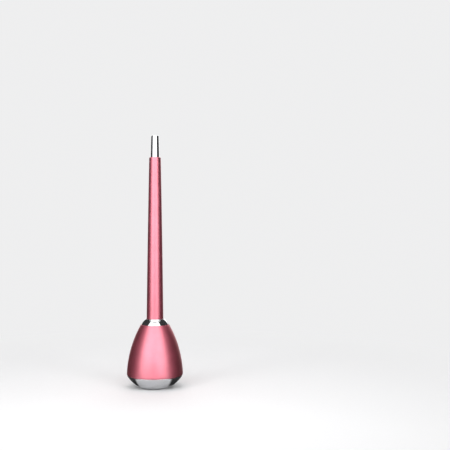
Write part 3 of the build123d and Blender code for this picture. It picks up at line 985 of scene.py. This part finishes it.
def cast_iron():
    """The ballast's raw casting: dark, coarse and dull."""
    material, tree, shader = new_finish("ballast_iron", metallic=0.7)
    grain = group_node(tree, grain_group, pits_per_metre=900.0)
    dark_iron = (0.15, 0.148, 0.15, 1)
    pale_iron = (0.24, 0.23, 0.225, 1)
    colour = tint_node(tree, grain["Mottle"], dark_iron, pale_iron)
    roughness = between(tree, grain["Mottle"], start=0.72, end=0.55)
    pits = grain["Height"]
    feed_shader(tree, shader, pits, bump=0.5, depth=0.15 * mm, base_color=colour, roughness=roughness)
    return material


def all_finishes():
    """One material for each material slot of the record."""
    return {
        "pink_anodised": pink_anodised(),
        "chrome_plate": chrome_plate(),
        "nib_steel": nib_steel(),
        "black_plastic": moulded(
            "black_plastic",
            dark=(0.014, 0.014, 0.015), pale=(0.022, 0.022, 0.023),
            smooth=0.30, rough=0.42, pits=5000.0, depth=0.02 * mm,
        ),
        "nylon": moulded(
            "nylon",
            dark=(0.085, 0.085, 0.09), pale=(0.12, 0.12, 0.125),
            smooth=0.42, rough=0.58, pits=4000.0, depth=0.03 * mm,
        ),
        "clear_plastic": clear_plastic(),
        "rubber": moulded(
            "rubber",
            dark=(0.016, 0.016, 0.0165), pale=(0.03, 0.03, 0.031),
            smooth=0.62, rough=0.80, pits=2600.0, depth=0.05 * mm, sheen=0.15,
        ),
        "brass": turned_metal(
            "brass",
            dark=(0.70, 0.49, 0.20), pale=(0.80, 0.59, 0.27),
            smooth=0.22, rough=0.34, lines=5000.0,
        ),
        "bare_aluminium": turned_metal(
            "bare_aluminium",
            dark=(0.70, 0.71, 0.72), pale=(0.80, 0.805, 0.81),
            smooth=0.28, rough=0.38, lines=4500.0,
        ),
        "ballast_iron": cast_iron(),
    }


def dress(finishes):
    """Put the finished pieces over their nodes and give the nodes that still show their finish.

    A piece takes its slot and its body from the node that it replaces.
    """
    record = frame["record"]
    slot_of = {subpart["node"]: subpart["material_slot"] for subpart in record["subparts"]}
    body_of = {node: body for body, nodes in record["behaviour"]["bodies"].items() for node in nodes}
    makers = {
        "bell_shell": bell,
        "collar": collar,
        "base_dome": base,
        "foot_pad": foot,
        "well_liner": liner,
        "seat_ring": seat,
        "joint_ring": joint_ring,
        "grip": grip,
        "section_core": core,
        "barrel_seal": seal,
        "barrel": barrel,
        "finial": finial,
        "nib": nib,
        "feed": feed,
    }
    for node, slot in slot_of.items():
        if node in makers:
            piece = makers[node]()
            piece.data.materials.append(finishes[slot])
            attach(piece, body_of[node])
            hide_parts(node)
        else:
            for material_slot in frame["nodes"][node].material_slots:
                material_slot.material = finishes[slot]


def background_seen(tree):
    """1 for rays that show the background itself: from the camera, in reflections and through glass."""
    path = add_node(tree, "ShaderNodeLightPath").outputs
    seen = math_node(tree, "MAXIMUM", path["Is Camera Ray"], path["Is Glossy Ray"])
    return math_node(tree, "MAXIMUM", seen, path["Is Transmission Ray"])


def pale_paper():
    """Pale paper with faint fibres, clear from below, that far from the stand shows as even light."""
    material, tree, shader = new_finish("pale_paper", roughness=0.9, specular_ior_level=0.2)
    place = object_place(tree)
    fibres = noise_node(tree, place, scale=400.0)
    tree.links.new(tint_node(tree, fibres, paper_shade, paper_light), shader.inputs["Base Color"])
    distance = add_node(tree, "ShaderNodeVectorMath", {0: place}, operation="LENGTH").outputs["Value"]
    fade = ramp_node(tree, distance, fade_start, fade_end)
    far = math_node(tree, "MULTIPLY", fade, background_seen(tree))
    even = add_node(tree, "ShaderNodeEmission", {"Color": background_light, "Strength": 1.0})
    faded = add_node(tree, "ShaderNodeMixShader", {0: far, 1: shader.outputs[0], 2: even.outputs[0]})
    below = add_node(tree, "ShaderNodeNewGeometry").outputs["Backfacing"]
    clear = add_node(tree, "ShaderNodeBsdfTransparent")
    one_sided = add_node(tree, "ShaderNodeMixShader", {0: below, 1: faded.outputs[0], 2: clear.outputs[0]})
    tree.links.new(one_sided.outputs[0], tree.nodes["Material Output"].inputs["Surface"])
    return material


def studio_sweep():
    """A pale floor with a wall all round: a level disc, a quarter circle and a straight rise."""
    angle = np.linspace(pi / 2, 0, bend_rows)
    bend_radius = floor_radius + wall_rounding * np.sin(angle)
    bend_height = wall_rounding - wall_rounding * np.cos(angle)
    level = np.linspace(floor_radius, 0, floor_rows)[1:]
    radius = np.concatenate([[floor_radius + wall_rounding], bend_radius, level])
    height = np.concatenate([[wall_height], bend_height, np.zeros(level.size)]) - floor_gap
    outline = (radius, height, np.zeros(radius.size))
    sweep = turned("studio_sweep", outline, sweep_segments, closed=False)
    sweep.data.materials.append(pale_paper())


def flag_cloth():
    """Dark cloth that thins out towards its edges, by the mask of the card."""
    material, tree, shader = new_finish("flag_cloth", base_color=flag_shade, roughness=1.0)
    thickness = add_node(tree, "ShaderNodeAttribute", attribute_name="edge").outputs["Fac"]
    tree.links.new(thickness, shader.inputs["Alpha"])
    return material


def side_flags():
    """Two dark folded cards, one on each side, that only reflections show.

    The card's outline runs out along the floor and then straight up, and is carried round an arc. Its
    mask rises from 0 to 1 at the foot of the outline and over the first share of the arc, and falls
    again over the arc's last share.
    """
    cloth = flag_cloth()
    radius = np.array([flag_foot, flag_foot + flag_foot_fade, flag_reach, flag_reach])[:, None]
    height = np.array([floor_gap, floor_gap, floor_gap, flag_height])[:, None]
    step = np.linspace(0, 1, flag_columns)
    arc_mask = np.clip(np.minimum(step, 1 - step) / flag_softness, 0, 1)[None, :]
    mask = np.array([0, 1, 1, 1])[:, None] * arc_mask
    for side, (near_edge, far_edge) in flag_edges.items():
        angle = np.radians(near_edge + (far_edge - near_edge) * step)[None, :]
        x = radius * np.sin(angle)
        y = -radius * np.cos(angle)
        points = np.stack(np.broadcast_arrays(x, y, height), axis=-1)
        quads = grid_quads(*points.shape[:2], False, False)
        flag = new_piece(f"{side}_flag", points.reshape(-1, 3), quads, mask.reshape(-1))
        flag.data.materials.append(cloth)
        for ray in ("camera", "diffuse", "transmission", "shadow"):
            setattr(flag, f"visible_{ray}", False)


def softbox(name, power, width, height, azimuth, distance, level, aim):
    """A soft lamp at an azimuth from the front, a distance and a level, turned to a level on the axis."""
    lamp = bpy.data.lights.new(name, "AREA")
    lamp.energy = power
    lamp.shape = "RECTANGLE"
    lamp.size = width
    lamp.size_y = height
    holder = add_object(name, lamp)
    angle = radians(azimuth)
    holder.location = (distance * sin(angle), -distance * cos(angle), level)
    way = Vector((0, 0, aim)) - holder.location
    holder.rotation_euler = way.to_track_quat("-Z", "Y").to_euler()
    holder.visible_camera = False


def studio_light():
    """Upright softboxes front left and front right, a dim one between, a top light and a fill behind."""
    near = {"distance": 0.45, "level": 0.40, "aim": 0.40}
    softbox("left_softbox", power=2.05, width=0.391, height=0.8, azimuth=-33.5, **near)
    middle = {"distance": 0.45, "level": 0.45, "aim": 0.45}
    softbox("middle_softbox", power=0.58, width=0.175, height=0.70, azimuth=1, **middle)
    softbox("right_softbox", power=1.9, width=0.364, height=0.8, azimuth=34, **near)
    above = {"distance": 0.01, "level": 1.5, "aim": 0.0}
    softbox("top_softbox", power=5.5, width=1.2, height=1.2, azimuth=0, **above)
    behind = {"distance": 1.1, "level": 0.7, "aim": 0.0}
    softbox("back_softbox", power=7.0, width=1.6, height=1.0, azimuth=178, **behind)
    world = bpy.data.worlds.new("pale_world")
    bpy.context.scene.world = world
    world.use_nodes = True
    tree = world.node_tree
    strength = math_node(tree, "MULTIPLY_ADD", background_seen(tree), world_gain, world_light)
    tree.links.new(strength, tree.nodes["Background"].inputs["Strength"])
    tree.nodes["Background"].inputs["Color"].default_value = (1.0, 1.0, 1.0, 1)


def photograph_camera():
    """A level camera in front of the set, framed so that one pixel is one pixel size at the axis."""
    camera = bpy.data.cameras.new("camera")
    camera.sensor_width = sensor_width
    camera.lens = sensor_width * camera_distance / (frame_pixels * pixel_size)
    holder = add_object("camera", camera)
    centre = frame_pixels / 2
    height = bell_low + (bell_foot_pixel - centre) * pixel_size
    holder.location = ((centre - axis_pixel) * pixel_size, -camera_distance, height)
    holder.rotation_euler = (radians(90), 0, 0)
    bpy.context.scene.camera = holder


bpy.context.scene.view_settings.view_transform = "Standard"
photograph_camera()
dress(all_finishes())
studio_sweep()
side_flags()
studio_light()
